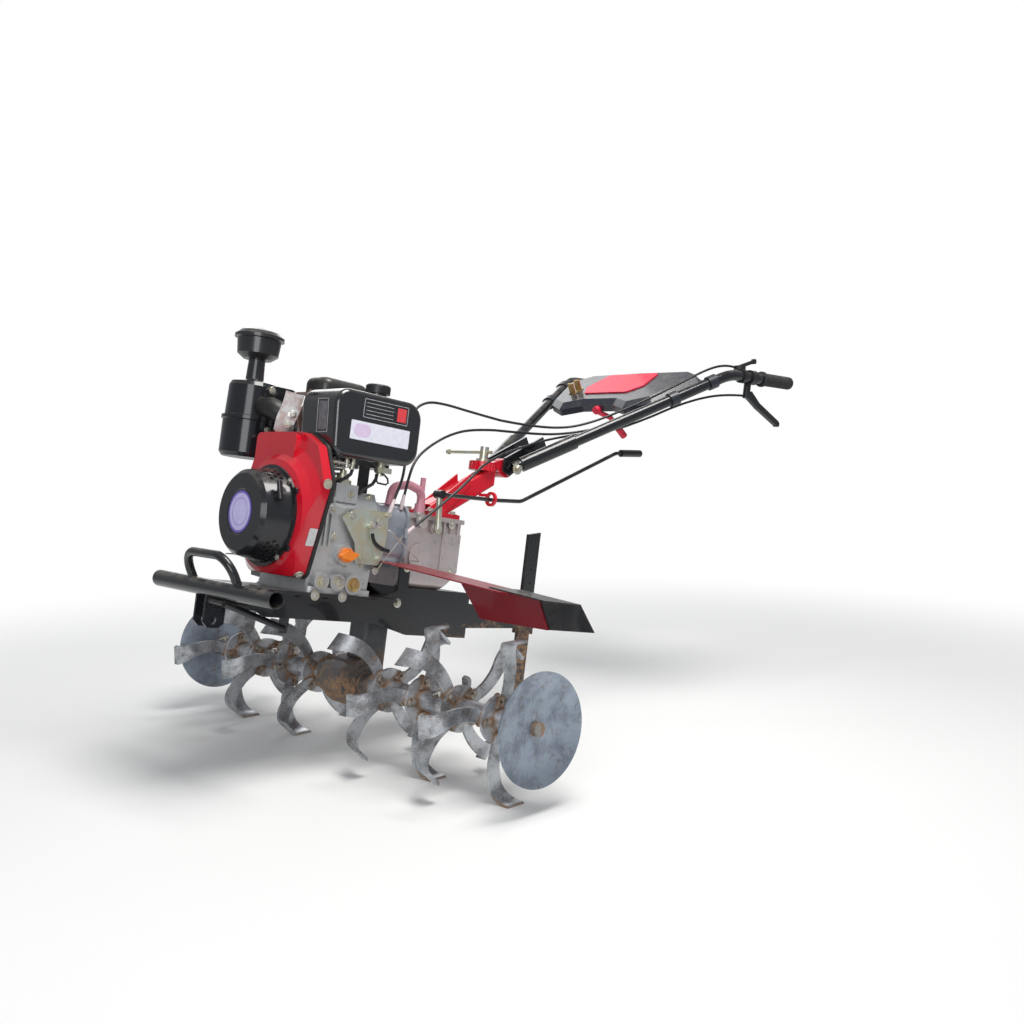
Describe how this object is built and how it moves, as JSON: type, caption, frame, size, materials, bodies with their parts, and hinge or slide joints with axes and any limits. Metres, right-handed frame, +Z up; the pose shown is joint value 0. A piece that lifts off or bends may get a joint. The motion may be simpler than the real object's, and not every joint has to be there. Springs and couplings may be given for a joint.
{
  "type": "walk-behind power weeder",
  "caption": "Walk-behind diesel power weeder with a tined rotor under a leg, fenders, a drag bar and a handlebar that swivels and tilts.",
  "frame": {"origin": "on the floor, at the middle of the machine's length and width, as it stands parked on its tine tips and drag bar", "axes": "+X forwards to the bumper, +Y to the machine's left, +Z up"},
  "size_m": [1.8864, 1.4036, 1.0757],
  "materials": {
    "red_paint": "gloss",
    "black_paint": "gloss",
    "black_plastic": "satin",
    "tank_plastic": "moulded",
    "red_plastic": "moulded",
    "cast_aluminium": "cast",
    "exhaust_coat": "heat proof black",
    "cast_iron": "painted dark grey",
    "worn_steel": "worn by soil",
    "zinc": "zinc plated",
    "rubber": "moulded",
    "pink_rubber": "translucent hose",
    "orange_plastic": "moulded",
    "brass": "tarnished",
    "cable_jacket": "smooth jacket"
  },
  "bodies": {
    "machine": {"base_frame": "black_paint", "front_bumper": "black_paint", "front_hitch": "black_paint", "leg": "cast_iron", "fender_left": "red_paint", "fender_right": "red_paint", "fender_extension_left": "black_paint", "fender_extension_right": "black_paint", "drag_socket": "black_paint", "crankcase": "cast_aluminium", "cylinder": "cast_aluminium", "fan_shroud": "red_paint", "recoil_starter": "black_paint", "speed_plate": "zinc", "injection_pump": "zinc", "oil_filler_cap": "orange_plastic", "fuel_tank": "tank_plastic", "fuel_cap": "black_plastic", "fuel_cock": "zinc", "tank_bracket": "black_paint", "air_cleaner": "tank_plastic", "pre_cleaner": "black_plastic", "intake_elbow": "black_plastic", "heat_shield": "zinc", "muffler": "exhaust_coat", "clutch_housing": "cast_aluminium", "gearbox": "cast_aluminium", "gear_lever": "zinc", "shift_rod": "black_paint", "breather_hose": "pink_rubber", "handle_post": "red_paint", "clutch_cable_lower": "cable_jacket", "throttle_cable_lower": "cable_jacket", "lift_cable_lower": "cable_jacket"},
    "head": {"handle_head": "red_paint", "post_clamp": "zinc"},
    "handle": {"cable_bracket": "brass", "handlebar": "black_paint", "console": "black_plastic", "console_panel": "red_plastic", "stop_lever": "red_plastic", "clutch_lever": "black_plastic", "throttle_lever": "black_plastic", "grip_left": "rubber", "grip_right": "rubber", "clutch_cable_upper": "cable_jacket", "throttle_cable_upper": "cable_jacket", "lift_cable_upper": "cable_jacket"},
    "drag": {"drag_bar": "black_paint"},
    "rotor": {"rotor_shaft": "worn_steel", "tines_left_inner": "worn_steel", "tines_left_outer": "worn_steel", "tines_right_inner": "worn_steel", "tines_right_outer": "worn_steel", "end_disc_left": "worn_steel", "end_disc_right": "worn_steel"}
  },
  "joints": [
    {"name": "rotor_spin", "type": "hinge", "parent": "machine", "child": "rotor", "pos_m": [0.5285, 0, 0.18], "axis": [0, 1, 0], "continuous": true},
    {"name": "handle_swivel", "type": "hinge", "parent": "machine", "child": "head", "pos_m": [0.07983, 0, 0.7116], "axis": [-0.1696, 0, 0.9855], "range_deg": [-30, 30]},
    {"name": "handle_tilt", "type": "hinge", "parent": "head", "child": "handle", "pos_m": [0.01179, 0, 0.70598], "axis": [0, 1, 0], "range_deg": [-3, 20]},
    {"name": "drag_slide", "type": "slide", "parent": "machine", "child": "drag", "axis": [-0.1696, 0, 0.9855], "range_m": [-0.16, 0.16]}
  ]
}
